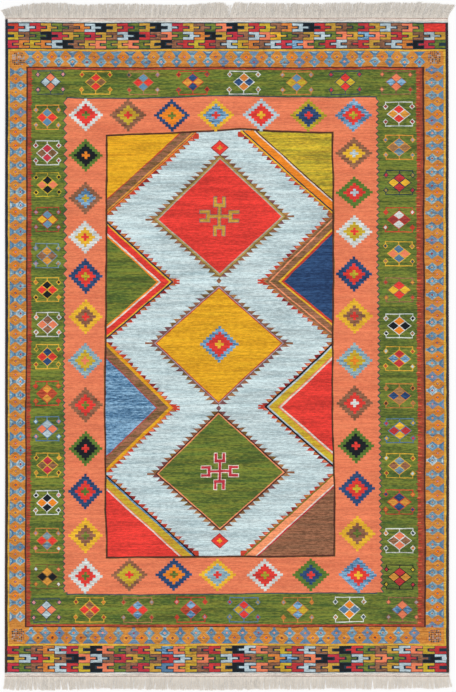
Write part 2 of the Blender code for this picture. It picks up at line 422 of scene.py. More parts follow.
def leaning(out, y):
    start, run, most = lean["left"]
    middle, rightRun = lean["right"]
    return min(max((start - y) / run, 0), most) if out < 0 else middle - y / rightRun


def leaningBlock(yarn, left, low, right, high):
    rows = (low, *lean["kinks"], high)
    lay(yarn, *[(right + leaning(1, y), y) for y in rows],
        *[(left - leaning(-1, y), y) for y in reversed(rows)])


stripe = {
    "pitch": 9.4,
    "left": 13.5,  # how far the ticks reach over the stripe
    "right": 19.0,
    "bright": (-2.2, 2.2),  # low and high side of a tick, from the middle of its pitch
    "dark": (2.8, 5.2),
    "starts": (-3, 7),
}


def weaveStripes(left, low, right, high):
    # short ticks that run out over the stripe beside the green band
    pitch = stripe["pitch"]
    (brightLow, brightHigh), (darkLow, darkHigh) = stripe["bright"], stripe["dark"]
    for i in range(int((high - low) / pitch)):
        y = low + pitch * (i + 0.5)
        dark, bright = ("oliveBrown", "rust") if i % 3 else ("maroon", "brick")
        for side, out, reach in ((left, -1, stripe["left"]), (right, 1, stripe["right"])):
            edge = side + out * leaning(out, y)
            start = edge - out * random.uniform(*stripe["starts"])
            block(bright, start, y + brightLow, edge + out * reach, y + brightHigh)
            if out > 0 and i % 4 == 0:
                dark = "salmon"
            end = edge + out * reach * (0.7 + 0.2 * sin(2.3 * i))
            block(dark, edge - out, y + darkLow, end, y + darkHigh)


def weaveGreenBand():
    left, low, right, high = frames["greenBand"]
    leaningBlock("umber", *frames["darkLine"])
    leaningBlock("rust", *frames["redStripe"])
    leaningBlock("sienna", frames["redStripe"][0], low, frames["redStripe"][2], high)
    leaningBlock("green", left, low, right, high)
    weaveStripes(left, low, right, high)
    for side, row in cartoucheRows.items():
        across = cartoucheSizes[side][0]
        for place, order in row.items():
            spots = {"corner": place, "left": (across, place), "right": (across, place)}
            weaveCartouche(*spots.get(side, (place, across)), order, side)


# The salmon band: points along its uneven edges, from the left or from below.
salmonTop = [(-717, 1124), (-640, 1119), (-400, 1121), (-250, 1126), (5, 1132), (130, 1128), (671, 1126)]
salmonBottom = [(-717, -1113), (-640, -1110), (-390, -1113), (5, -1111), (130, -1106), (400, -1106),
                (671, -1108)]
fieldLeft = [(-536, -870), (-541, -730), (-540, -550), (-546, -280), (-540, 0), (-540, 350), (-535, 500),
             (-537, 890)]
fieldRight = [(481, -730), (476, -550), (471, -280), (471, 0), (478, 300), (474, 550), (476, 750),
              (473, 890)]
fieldTop = [(-544, 950), (-220, 965), (-7, 975), (61, 980), (250, 968), (483, 965)]
fieldBottom = [(-544, -942), (-160, -943), (-10, -938), (280, -939), (483, -936)]

fieldLines = [("umber", 0), ("oliveBrown", 7), ("salmon", 9)]  # each stands this far out from the field

stepped = {  # the stepped diamonds, whose yarns are outer, ring and heart
    "wide": 12.6,
    "high": 11.3,
    "sizes": (7, 4, 2),  # how many steps each yarn takes, unless the ring's number is given
    "grown": 1.12,  # a ring of 4 steps is a little larger
    "firstNarrower": 0.93,  # the top row's first one
    "leftWide": 11.7,
    "sideHigh": 12.2,  # on the sides, but flatter above this height
    "flatFrom": 400,
    "flatLeft": 11.2,
    "flatRight": 11.1,
    "outFrom": -150,  # below this the right side's ones stand further out, by this share
    "outShare": 0.02,
}
diamondLines = (1047, -1026, -636, 574)  # where the top, bottom, left and right rows run
diamondRows = {
    "top": {
        -634: "white red green 5", -444: "brown mustard red", -246: "navy orange green 5",
        -47: "yellow blue red 5", 156: "iceBlue red yellow 5", 368: "olive navy red 5",
        571: "blue red olive",
    },
    "bottom": {
        -437: "brown mustard red 5", -237: "navy orange green", -42: "yellow duckEgg red 5",
        172: "white red olive 5", 379: "leaf navy red", 586: "blue red yellow",
    },
    "left": {
        865: "leaf black orange 5", 672: "brown blue mustard", 497: "white yellow red",
        322: "navy red olive", 138: "yellow brown red", -61: "duckEgg mustard salmon",
        -261: "brown red green", -458: "leaf black red 5", -651: "navy red leaf",
        -848: "yellow brown green", -1031: "white red green",
    },
    "right": {
        876: "brown yellow iceBlue", 698: "leaf red iceBlue", 521: "white mustard red",
        330: "navy red olive", 140: "yellow brown red", -60: "duckEgg mustard orange",
        -251: "brown red white", -444: "leaf black red 5", -638: "navy red olive",
        -841: "yellow brown green", -1028: "blue red yellow",
    },
}


def steppedDiamond(yarn, x, y, steps, wide, high):
    corners = []
    for j in range(1 - steps, steps):
        half = wide * (steps - abs(j) - 0.5)
        corners += [(x + half, y + high * (j - 0.5)), (x + half, y + high * (j + 0.5))]
    mirrored = [(2 * x - px, py) for px, py in reversed(corners)]
    lay(yarn, *corners, *mirrored)


def ringedDiamond(x, y, order, wide=stepped["wide"], high=stepped["high"]):
    outer, ring, heart, *given = order.split()
    most, some, few = stepped["sizes"]
    for yarn, count in ((outer, most), (ring, int(given[0]) if given else some), (heart, few)):
        grown = stepped["grown"] if count == some else 1
        steppedDiamond(yarn, x, y, count, wide * grown, high * grown)


sawteeth = {  # low end of each run of teeth, its pitch, valleys and tips
    "left": {"edge": -717.0, "out": -1, "drift": 0.0, "corner": 18.0,
             "runs": [(250.0, 38.5, 0.0, 17.0), (-1200.0, 25.0, 9.0, 19.0)]},
    "right": {"edge": 671.0, "out": 1, "drift": 18.0, "corner": 14.0,
              "runs": [(-1200.0, 26.3, 0.0, 12.5)]},
    "line": 4.0,
    "under": 24,  # how far they reach in under the band
}


def sawtooth(side, yarn, grow):
    saw = sawteeth[side]
    low, high = frames["salmonBand"][1], frames["salmonBand"][3]
    edge, out = saw["edge"], saw["out"]
    back = edge - out * (sawteeth["under"] - 2 * grow)

    def place(y, reach):
        # the edge drifts outward on its way down
        down = (high - y) / (high - low)
        return edge + out * (reach + grow + saw["drift"] * down * down), y
    points = [(back, high), place(high, 0)]
    y = high + 2
    for floor, pitch, valley, tip in saw["runs"]:
        while y - pitch > max(floor, low):
            points += [place(y, valley), place(y - pitch / 2, tip)]
            y -= pitch
    lay(yarn, *points, place(y, valley), place(low, saw["corner"]), (back, low))


def weaveSalmonBand():
    left, low, right, high = frames["salmonBand"]
    for yarn, out in fieldLines:
        for edge, rim, up in ((fieldTop, salmonTop, 1), (fieldBottom, salmonBottom, -1)):
            lay(yarn, *[(x, y + up * out) for x, y in edge], (right, edge[-1][1]), *reversed(rim),
                (left, edge[0][1]))
        for far, edge, side in ((left, fieldLeft, -1), (right, fieldRight, 1)):
            path = [(x + side * out, y) for x, y in edge]
            lay(yarn, (path[0][0], low), *path, (path[-1][0], high), (far, high), (far, low))
    for side in ("left", "right"):
        sawtooth(side, "slate", sawteeth["line"])
        sawtooth(side, "salmon", 0)
    wide, sideHigh, flatFrom = stepped["wide"], stepped["sideHigh"], stepped["flatFrom"]
    topLine, bottomLine, leftLine, rightLine = diamondLines
    for x, order in diamondRows["top"].items():
        first = order == next(iter(diamondRows["top"].values()))
        ringedDiamond(x, topLine, order, wide=wide * stepped["firstNarrower"] if first else wide)
    for x, order in diamondRows["bottom"].items():
        ringedDiamond(x, bottomLine, order)
    for y, order in diamondRows["left"].items():
        high = stepped["flatLeft"] if y > flatFrom else sideHigh
        ringedDiamond(leftLine, y, order, wide=stepped["leftWide"], high=high)
    for y, order in diamondRows["right"].items():
        rightward = max(stepped["outFrom"] - y, 0) * stepped["outShare"]
        high = stepped["flatRight"] if y > flatFrom else sideHigh
        ringedDiamond(rightLine + rightward, y, order, high=high)


# The field: medallions, wedges, corner pieces and crosses on pale blue.
tooth = {
    "pitch": 18.3,
    "dusky": 42.0,  # how far the teeth round the medallions reach
    "bright": 36.0,  # and those on the wedges and corner pieces
    "ragged": 0.16,
}
duskyTeeth = ["brown", "oliveBrown", "mauveBrown", "brown", "streakedBrown", "brown", "tan"]
brightTeeth = ["brick", "garnet", "rust", "rosewood", "rust", "maroon", "rosewood"]
toothHearts = {"garnet": "copper", "rosewood": "salmon", "rust": "copper"}
underEdge = 13  # wedges and corner pieces begin this far under the salmon band


def teeth(start, end, side, flatTop, colours, reach):
    # a row of small flags along a slanting line; side says which way they point
    (x0, y0), (x1, y1) = start, end
    count = max(round(abs(y1 - y0) / tooth["pitch"]), 1)
    for i in range(count):
        a, b = i / count, (i + 1) / count
        one, two = (x0 + (x1 - x0) * a, y0 + (y1 - y0) * a), (x0 + (x1 - x0) * b, y0 + (y1 - y0) * b)
        upper, lower = (one, two) if one[1] > two[1] else (two, one)
        (flatX, flatY), (slantX, slantY) = (upper, lower) if flatTop else (lower, upper)
        far = side * reach * random.uniform(1 - tooth["ragged"], 1 + tooth["ragged"])
        level = 1 if flatTop else -1
        yarn = random.choice(colours)
        lay(yarn, (flatX - side * 4, flatY - level), (flatX + far, flatY - level * 2.5),
            (flatX + far * 0.8, flatY - level * 5), (slantX + side * 3, slantY + level * 2),
            (slantX - side * 4, slantY))
        if yarn in toothHearts:
            lay(toothHearts[yarn], (flatX, flatY - level * 4), (flatX + far * 0.6, flatY - level * 4.5),
                (slantX + side * 4, slantY + level * 6), (slantX, slantY + level * 5))


def lineOrder(order):
    # yarns, each followed by how far it stands in from the outermost line
    words = order.split()
    return list(zip(words[::2], [float(word) for word in words[1::2]]))


def medallion(left, low, right, high, order):
    for side, corner in ((-1, left), (1, right)):
        teeth(high, corner, side, True, duskyTeeth, tooth["dusky"])
        teeth(low, corner, side, False, duskyTeeth, tooth["dusky"])
        patch("brown", corner[0], corner[1] - 5, corner[0] + side * 38, corner[1] + 4)
    x, y = (low[0] + high[0]) / 2, (left[1] + right[1]) / 2
    for yarn, inset in lineOrder(order):
        share = 1 - 2 * inset / (right[0] - left[0])
        lay(yarn, *[(x + (px - x) * share, y + (py - y) * share) for px, py in (left, low, right, high)])


def wedge(edge, side, high, middle, low, reach, order):
    # a triangle on the field's edge, its apex pointing to side, with nested lines
    tip = edge + side * reach
    teeth((edge, high), (tip, middle), side, True, brightTeeth, tooth["bright"])
    teeth((edge, low), (tip, middle), side, False, brightTeeth, tooth["bright"])
    patch("brick", tip, middle - 10, tip + side * 28, middle + 10)
    patch("sky", tip + side * 16, middle - 1.5, tip + side * 30, middle + 1.5)
    for yarn, inset in lineOrder(order):
        share = inset / reach
        top, bottom = high - (high - middle) * share, low + (middle - low) * share
        under = edge - side * underEdge
        lay(yarn, (under, top), (edge, top), (edge + side * (reach - inset), middle), (edge, bottom),
            (under, bottom))


def cornerPiece(x, y, side, up, wide, high, order):
    # a triangle in the field's corner, its slanting side towards the middle
    teeth((x + side * wide, y), (x, y - up * high), side, up < 0, brightTeeth, tooth["bright"])
    patch("brick", x + side * (wide - 18), y, x + side * (wide + 10), y - up * 25)
    for yarn, inset in lineOrder(order):
        share = 1 - inset / wide
        far, deep, under = x + side * wide * share, y - up * high * share, x - side * underEdge
        lay(yarn, (under, y + up * 5), (far, y + up * 5), (far, y), (x, deep), (under, deep))


crossLine = 3.3  # the outline's width
crossParts = [  # along an arm from and to, across it from and to
    (0, 46, -5.5, 5.5), (44, 58, -26, 26), (44, 89, 14, 26), (44, 89, -26, -14),
]


def forkedCross(x, y, yarn, outline, size):
    # four arms that end in forks
    for name, grow in ((outline, crossLine), (yarn, 0.0)):
        for along, across in (((1, 0), (0, 1)), ((-1, 0), (0, 1)), ((0, 1), (1, 0)), ((0, -1), (1, 0))):
            for u0, u1, v0, v1 in crossParts:
                u0, u1, v0, v1 = u0 * size - grow, u1 * size + grow, v0 * size - grow, v1 * size + grow
                patch(name, x + along[0] * u0 + across[0] * v0, y + along[1] * u0 + across[1] * v0,
                      x + along[0] * u1 + across[0] * v1, y + along[1] * u1 + across[1] * v1)


def weaveField():
    random.seed(11)
    left, low, right, high = frames["field"]
    block("sky", left - 10, low - 20, right + 10, high + 20)
    cornerPiece(left, 966, 1, 1, 403, 370,
                "brick 0 orange 4 streakedBrown 10 amber 15 streakedBrown 24 brick 73 gold 79")
    cornerPiece(left, -943, 1, -1, 402, 368, "black 0 blue 9 mustard 19 salmon 64 chalk 69 red 78")
    cornerPiece(right, 972, -1, 1, 415, 372, "yellow 0 navyLine 10 orange 18 chalk 61 umber 69 oliveGold 77")
    cornerPiece(right, -941, -1, -1, 404, 372, "moss 0 peach 10 chalk 54 crimson 62 brown 70")
    wedge(left, 1, 571, 293, 38, 299, "navyLine 0 yellow 10 red 18 chalk 56 orange 66 green 76")
    wedge(left, 1, 26, -272, -564, 299, "orange 0 gold 5 streakedBrown 22 rosewood 71 blue 78")
    wedge(right, -1, 604, 298, 40, 308,
          "tan 0 streakedBrown 6 peach 20 streakedBrown 28 yellow 65 brick 76 navy 90")
    wedge(right, -1, 25, -270, -539, 308, "black 0 iceBlue 11 mustard 20 salmon 60 chalk 67 red 78")
    medallion((-326, 577), (-30, 316), (266, 593), (-30, 866), "oliveBrown -3 khaki 2 chalkMist 12 red 20")
    medallion((-327, 20), (-35, -259), (259, 20), (-35, 277), "mauveBrown -3 mist 2 brick 8 gold 14")
    medallion((-320, -569), (-29, -827), (266, -563), (-37, -288), "umber -2 peach 7 green 14")
    x = -31
    diamond("brown", x - 4, 300, 12, 14)
    diamond("mauveBrown", x - 4, -275, 12, 13)
    for y, heart in ((900, "oldGold"), (-872, "yellow")):
        diamond("garnet", x, y, 42, 36)
        diamond("red", x, y, 36, 31)
        steppedDiamond(heart, x, y, 2, 8, 7)
    forkedCross(x - 1, 590, "oldGold", "mistBrown", 0.97)
    ringedDiamond(x - 1, 13, "blue red yellow 5", 13.1, 12.6)
    forkedCross(x, -560, "crimson", "chalk", 0.92)


def weaveRug():
    wide, long = sheet["halfWide"], sheet["halfLong"]
    block("undyed", -wide, -long, wide, long)
    low, high = -long + sheet["webBottom"], long - sheet["webTop"]
    block("white", -wide, low - 5, wide, high + 5)
    block("navyLine", -wide, low, wide, high)
    weaveForks()
    block("red", 890, 1426, 985, 1460)  # the last cell of the top row is plain
    weaveOrangeBand()
    weaveGreenBand()
    lay("slate", *[(x * 1.007, y + 5) for x, y in salmonTop],
        *[(x * 1.007, y - 5) for x, y in reversed(salmonBottom)])
    weaveField()
    weaveSalmonBand()
    return areas


# The colour a dye streaks into, how strongly, its mottling, its broad drift and its change of hue.
dyeStreaks = {
    "undyed": ((206, 192, 182), 0.5, 0.8, 0.4, 0.1), "navyLine": ((24, 40, 56), 0.4, 0.8, 0.4, 0.1),
    "black": ((12, 16, 24), 0.5, 0.8, 0.4, 0.1), "orange": ((222, 120, 36), 0.5, 0.8, 0.4, 0.1),
    "bandOrange": ((201, 123, 50), 0.7, 1.0, 0.5, 0.12), "gold": ((206, 144, 24), 0.6, 0.75, 0.5, 0.1),
    "yellow": ((214, 154, 40), 0.5, 0.8, 0.4, 0.1), "olive": ((150, 140, 40), 0.8, 0.9, 0.8, 0.3),
    "oliveGold": ((160, 142, 48), 0.8, 0.9, 0.9, 0.3), "mustard": ((200, 148, 46), 0.8, 0.9, 0.6, 0.25),
    "green": ((78, 98, 44), 0.95, 0.9, 0.7, 0.5), "salmon": ((222, 112, 80), 0.5, 0.5, 0.35, 0.1),
    "red": ((204, 54, 46), 0.6, 0.9, 0.6, 0.1), "rust": ((146, 50, 40), 0.8, 1.0, 0.5, 0.1),
    "brown": ((124, 84, 60), 0.8, 1.4, 0.5, 0.2), "streakedBrown": ((114, 92, 50), 0.85, 1.3, 0.7, 0.3),
    "mauveBrown": ((112, 66, 66), 0.8, 1.0, 0.4, 0.1), "oliveBrown": ((108, 82, 40), 0.8, 1.0, 0.4, 0.1),
    "sky": ((172, 194, 200), 0.55, 0.9, 0.75, 0.1), "blue": ((76, 122, 162), 1.0, 1.7, 0.6, 0.1),
    "cobalt": ((124, 160, 180), 0.9, 1.2, 0.5, 0.1), "steel": ((88, 118, 152), 0.9, 1.2, 0.5, 0.1),
    "denim": ((104, 140, 168), 0.9, 1.2, 0.5, 0.1), "violet": ((92, 124, 160), 0.9, 1.2, 0.5, 0.1),
    "duckEgg": ((112, 150, 176), 0.9, 1.2, 0.5, 0.1), "navy": ((30, 56, 98), 0.8, 1.2, 0.6, 0.1),
}
underBands = [("navyLine", "forks"), ("orange", "orangeBand"), ("red", "redStripe"), ("green", "greenBand"),
              ("salmon", "salmonBand"), ("sky", "field")]


plainStreaks = (0.5, 0.9, 0.4, 0.1)  # of the other dyes, which streak into a darker shade of their own
darkerShade = 0.84


def dyeLot(dye):
    main = yarns[dye]
    darker = tuple(level * darkerShade for level in main)
    streak, amount, mottle, drift, hue = dyeStreaks.get(dye, (darker, *plainStreaks))
    main, streak = [linear(level) for level in main], [linear(level) for level in streak]
    return main, streak, amount, mottle, (drift, hue, 0)


dyeLots = {dye: dyeLot(dye) for dye in yarns}


def newPiece(name, mesh, material):
    piece = bpy.data.objects.new(name, mesh)
    bpy.context.scene.collection.objects.link(piece)
    mesh.materials.clear()
    mesh.materials.append(material)
    return piece


class Nodes:
    # short ways to put nodes into a tree and join them
    def __init__(self, tree):
        self.tree = tree

    def put(self, kind, values=None, **settings):
        node = self.tree.nodes.new(kind)
        for name, value in settings.items():
            setattr(node, name, value)
        for name, value in (values or {}).items():
            self.feed(node.inputs[name], value)
        return node

    def out(self, kind, values=None, **settings):
        return self.put(kind, values, **settings).outputs[0]

    def feed(self, socket, value):
        if isinstance(value, bpy.types.NodeSocket):
            self.tree.links.new(value, socket)
        elif value is not None:
            socket.default_value = value

    def sum(self, kind, a, b=None, c=None):
        node = self.tree.nodes.new("ShaderNodeMath")
        node.operation = kind
        for socket, value in zip(node.inputs, (a, b, c)):
            self.feed(socket, value)
        return node.outputs[0]

    def plus(self, a, b):
        return self.sum("ADD", a, b)

    def minus(self, a, b):
        return self.sum("SUBTRACT", a, b)

    def times(self, a, b, added=None):
        return self.sum("MULTIPLY", a, b) if added is None else self.sum("MULTIPLY_ADD", a, b, added)

    def vector(self, x, y, z):
        return self.out("ShaderNodeCombineXYZ", {"X": x, "Y": y, "Z": z})


class Finish(Nodes):
    # a material, with its place on the piece and the mixes that the yarns share
    def __init__(self, name, settings):
        self.material = bpy.data.materials.new(name)
        self.material.use_nodes = True
        super().__init__(self.material.node_tree)
        self.settings = settings
        self.shader = self.tree.nodes["Principled BSDF"].inputs
        self.shader["Roughness"].default_value = settings["roughness"]
        self.shader["Sheen Weight"].default_value = settings["sheen"]
        self.shader["Sheen Roughness"].default_value = 0.6
        self.shader["Specular IOR Level"].default_value = 0.15
        self.place = self.put("ShaderNodeTexCoord").outputs["Object"]
        self.axes = self.put("ShaderNodeSeparateXYZ", {"Vector": self.place}).outputs

    def attribute(self, name):
        return self.put("ShaderNodeAttribute", attribute_name=name).outputs

    def noise(self, name, detail=2.0, roughness=0.6):
        # the setting of this name says how often it changes in a metre each way
        mapped = self.out("ShaderNodeMapping", {"Vector": self.place, "Scale": self.settings[name]})
        return self.out("ShaderNodeTexNoise",
                        {"Vector": mapped, "Scale": 1.0, "Detail": detail, "Roughness": roughness})

    def between(self, value, low, high, toLow, toHigh):
        return self.out("ShaderNodeMapRange", {"Value": value, "From Min": low, "From Max": high,
                                               "To Min": toLow, "To Max": toHigh})

    def mixed(self, share, one, other, blend="MIX"):
        node = self.put("ShaderNodeMix", data_type="RGBA", blend_type=blend)
        for socket, value in ((node.inputs["Factor"], share), (node.inputs[6], one), (node.inputs[7], other)):
            self.feed(socket, value)
        return node.outputs[2]

    def done(self, colour, height):
        strength, depth = self.settings["bump"]
        self.feed(self.shader["Base Color"], colour)
        bump = self.out("ShaderNodeBump", {"Strength": strength, "Distance": depth, "Height": height})
        self.feed(self.shader["Normal"], bump)
        return self.material


wool = {
    "dashes": (46.0, 170.0, 1.0),  # how often the dye changes across and along the rug, per metre
    "runs": (6.0, 110.0, 1.0),
    "lots": (3.2, 24.0, 1.0),
    "hues": (5.0, 60.0, 2.0),
    "hair": (260.0, 330.0, 50.0),
    "dashShare": 0.38,  # each one's part in how far a dye streaks
    "runShare": 0.30,
    "lotShare": 0.32,
    "streaks": (0.43, 0.56),  # where their sum turns from streak to dye
    "dashLight": 0.9,  # how much each one lightens or darkens the dye
    "runLight": 0.75,
    "hairLight": 0.9,
    "warmer": 2.2,  # how a change of hue moves red and blue
    "cooler": -0.8,
    "picks": 780.0,  # weft picks in a metre
    "ribs": 240.0,  # warp ribs in a metre
    "pickRelief": 0.35,
    "ribRelief": 0.65,
    "hairRelief": 1.6,
    "bump": (0.5, 0.0006),  # strength, and depth in metres
    "roughness": 0.93,
    "sheen": 0.10,
}


def wovenWool():
    nodes = Finish("wovenWool", wool)
    dye, streak, drift = nodes.attribute("dye"), nodes.attribute("streak"), nodes.attribute("drift")
    dashes, runs = nodes.noise("dashes", 1.5, 0.55), nodes.noise("runs")
    lots, hair = nodes.noise("lots", 2.0, 0.5), nodes.noise("hair", 1.0, 0.5)
    blend = nodes.plus(nodes.times(dashes, wool["dashShare"]), nodes.times(runs, wool["runShare"]))
    blend = nodes.plus(blend, nodes.times(lots, wool["lotShare"]))
    share = nodes.times(nodes.between(blend, *wool["streaks"], 1.0, 0.0), dye["Alpha"])
    colour = nodes.mixed(share, dye["Color"], streak["Color"])
    light = 0.0
    for noise, strength in ((dashes, "dashLight"), (runs, "runLight"), (hair, "hairLight")):
        light = nodes.times(nodes.minus(noise, 0.5), wool[strength], light)
    light = nodes.times(light, streak["Alpha"], 1.0)
    shift = nodes.put("ShaderNodeSeparateXYZ", {"Vector": drift["Vector"]}).outputs
    light = nodes.times(nodes.minus(lots, 0.5), shift["X"], light)
    hue = nodes.times(nodes.minus(nodes.noise("hues", 2.5), 0.5), shift["Y"])
    red, blue = nodes.times(hue, wool["warmer"], light), nodes.times(hue, wool["cooler"], light)
    colour = nodes.mixed(1.0, colour, nodes.vector(red, light, blue), "MULTIPLY")
    picks = nodes.sum("SINE", nodes.times(nodes.axes["Y"], wool["picks"] * 2 * pi))
    ribs = nodes.sum("SINE", nodes.times(nodes.axes["X"], wool["ribs"] * 2 * pi))
    weave = nodes.plus(nodes.times(picks, wool["pickRelief"]), nodes.times(ribs, wool["ribRelief"]))
    return nodes.done(colour, nodes.plus(weave, nodes.times(hair, wool["hairRelief"])))


binding = {
    "dark": (28, 28, 37),
    "light": (44, 46, 66),
    "worn": (68, 44, 28),  # the browner wool of the right edge and the left one's lower half
    "lighter": (0.35, 0.7),  # where the mottle turns from dark to light
    "wornDown": (0.3, -0.4, 0.0, 0.9),  # from and to along the rug, and how worn it is at each
    "wornRight": (-0.5, 0.5, 0.0, 0.45),  # and across it
    "patchy": 1.6,
    "mottle": (90.0, 160.0, 90.0),
    "hair": (900.0, 2400.0, 900.0),
    "bump": (0.4, 0.0004),
    "roughness": 0.9,
    "sheen": 0.12,
}


def bindingWool():
    nodes = Finish("bindingWool", binding)
    mottle = nodes.noise("mottle")
    share = nodes.between(mottle, *binding["lighter"], 0.0, 1.0)
    colour = nodes.mixed(share, dyed(binding["dark"]), dyed(binding["light"]))
    height = nodes.times(nodes.minus(mottle, 0.5), binding["patchy"], nodes.axes["Y"])
    lower = nodes.between(height, *binding["wornDown"])
    rightward = nodes.between(nodes.axes["X"], *binding["wornRight"])
    colour = nodes.mixed(nodes.sum("MAXIMUM", lower, rightward), colour, dyed(binding["worn"]))
    return nodes.done(colour, nodes.noise("hair", 1.0, 0.5))


twine = {
    "warm": (104, 58, 48),
    "pale": (178, 138, 118),
    "paler": 0.5,  # one of the two strands
    "patchy": (0.4, 0.62, 0.0, 0.75),
    "patches": (34.0, 6.0, 6.0),
    "hair": (1400.0, 1400.0, 1400.0),
    "bump": (0.4, 0.0003),
    "roughness": 0.9,
    "sheen": 0.1,
}


def twineWool():
    nodes = Finish("twineWool", twine)
    patches = nodes.between(nodes.noise("patches"), *twine["patchy"])
    share = nodes.plus(nodes.times(nodes.attribute("strand")["Fac"], twine["paler"]), patches)
    colour = nodes.mixed(share, dyed(twine["warm"]), dyed(twine["pale"]))
    return nodes.done(colour, nodes.noise("hair", 1.0, 0.5))


fringeYarn = {
    "pale": (238, 230, 219),
    "grey": (206, 200, 192),
    "toned": 0.7,
    "patchy": (0.3, 0.7, 0.0, 0.3),
    "patches": (300.0, 60.0, 100.0),
    "hair": (2200.0, 700.0, 2200.0),
    "bump": (0.35, 0.0003),
    "roughness": 0.88,
    "sheen": 0.12,
}


def fringeCotton():
    nodes = Finish("fringeCotton", fringeYarn)
    patches = nodes.between(nodes.noise("patches"), *fringeYarn["patchy"])
    share = nodes.plus(nodes.times(nodes.attribute("tone")["Fac"], fringeYarn["toned"]), patches)
    colour = nodes.mixed(share, dyed(fringeYarn["pale"]), dyed(fringeYarn["grey"]))
    return nodes.done(colour, nodes.noise("hair", 1.0, 0.5))


# The woven sheet.
sheetMesh = {
    "longestEdge": 24.0,  # in millimetres, so that straight lines can follow the warp's wander
    "grid": 36.0,
    "gridReach": 0.985,
    "wobble": 1.3,
    "stray": 0.75,  # hand weaving doesn't keep to a true line
    "mostStray": 1.4,  # times the stray, as a thin shape must not cross itself
    "strayAlong": 0.7,  # it strays less along the warp
    "slope": 2.0,
    "shades": (0.955, 1.045),
    "underGrid": 90.0,
    "underReach": (10, 15),  # steps of that grid to each side and to each end
    "underInset": 4.0,
    # the underside and the rim's sides are darkened by this share: painted shade, not a colour of the wool
    "underPaintedShade": 0.95,
}


def onRug(x, y):
    # from millimetres on the pattern to metres on the floor, along the rug's own uneven edges
    halfWide, halfLong = sheet["halfWide"], sheet["halfLong"]
    fade = max(1 - (abs(x) / halfWide) ** 10, 0) * max(1 - (abs(y) / halfLong) ** 16, 0)
    wobble = sheetMesh["wobble"] * fade
    dx = wobble * (sin(0.0107 * y + 1.9 * sin(0.0043 * x)) + 0.5 * sin(0.031 * y + 0.019 * x))
    dy = wobble * (sin(0.0091 * x + 1.6 * sin(0.0051 * y) + 2) + 0.5 * sin(0.027 * x - 0.013 * y))
    across = (x + dx) / halfWide
    worldY = rug["middleY"] + (y + dy) / 1000
    edge = rightEdge(worldY) if across > 0 else leftEdge(worldY)
    worldX = rug["middleX"] + abs(across) * (edge - rug["middleX"])
    worldY += endLine((across + 1) / 2) * (abs(y) / halfLong) ** 6
    return worldX, worldY


def sheetOutline():
    # full width at the webs, in under the bindings between them
    wide, long = sheet["halfWide"], sheet["halfLong"]
    inset = wide - sheet["selvedge"] * sheet["underSelvedge"]
    low, high = -long + sheet["webBottom"], long - sheet["webTop"]
    leftHigh = high + sheet["leftPastWeb"]
    return [(-wide, -long), (wide, -long), (wide, low), (inset, low), (inset, high), (wide, high),
            (wide, long), (-wide, long), (-wide, leftHigh), (-inset, leftHigh), (-inset, low), (-wide, low)]


def sidesOf(outline):
    return list(zip(outline, outline[1:] + outline[:1]))


def spaced(outline, longest):
    points = []
    for (x0, y0), (x1, y1) in sidesOf(outline):
        parts = max(ceil(hypot(x1 - x0, y1 - y0) / longest), 1)
        points += [(x0 + (x1 - x0) * k / parts, y0 + (y1 - y0) * k / parts) for k in range(parts)]
    return points


def unsteady(outline):
    most = sheetMesh["mostStray"]

    def stray():
        return sheetMesh["stray"] * min(max(random.gauss(0, 1), -most), most)
    return [(x + stray(), y + stray() * sheetMesh["strayAlong"]) for x, y in outline]


def joined(outlines, loose):
    # every outline cut against the others: points, triangles and the topmost outline over each,
    # and which points came from where
    points, loops = [], []
    for outline in outlines:
        if sum(x0 * y1 - x1 * y0 for (x0, y0), (x1, y1) in sidesOf(outline)) <= 0:
            outline = outline[::-1]  # all run anticlockwise
        loops.append(list(range(len(points), len(points) + len(outline))))
        points += outline
    found, _, triangles, came, _, covers = delaunay_2d_cdt(points + loose, [], loops, 1, 1e-5, True)
    kept = [(corners, max(over)) for corners, over in zip(triangles, covers) if 0 in over]
    return found, kept, came


def topHeight(x, y):
    # the webs are thinner than the weft-faced cloth between them
    web, full = rug["webThickness"], rug["thickness"]
    inside = min(sheet["halfLong"] - sheet["webTop"] - y, y + sheet["halfLong"] - sheet["webBottom"])
    return web + (full - web) * min(max(inside / sheetMesh["slope"], 0), 1)


class Cloth:
    # a mesh whose faces carry their dye, the streaks in it and its drift
    def __init__(self):
        self.mesh = bmesh.new()
        layers = self.mesh.loops.layers
        self.dye = layers.float_color.new("dye")
        self.streak = layers.float_color.new("streak")
        self.drift = layers.float_vector.new("drift")

    def face(self, corners, dye, shade):
        main, streak, amount, mottle, drift = dyeLots[dye]
        for loop in self.mesh.faces.new(corners).loops:
            loop[self.dye] = (*[level * shade for level in main], amount)
            loop[self.streak] = (*[level * shade for level in streak], mottle)
            loop[self.drift] = drift


def rimOf(kept):
    # the points round the rim in order, and the outline that covers the side from each one
    sides = {side: cover for corners, cover in kept for side in sidesOf(corners)}
    rim = {a: (b, cover) for (a, b), cover in sides.items() if (b, a) not in sides}
    loop = [next(iter(rim))]
    while rim[loop[-1]][0] != loop[0]:
        loop.append(rim[loop[-1]][0])
    return loop, rim


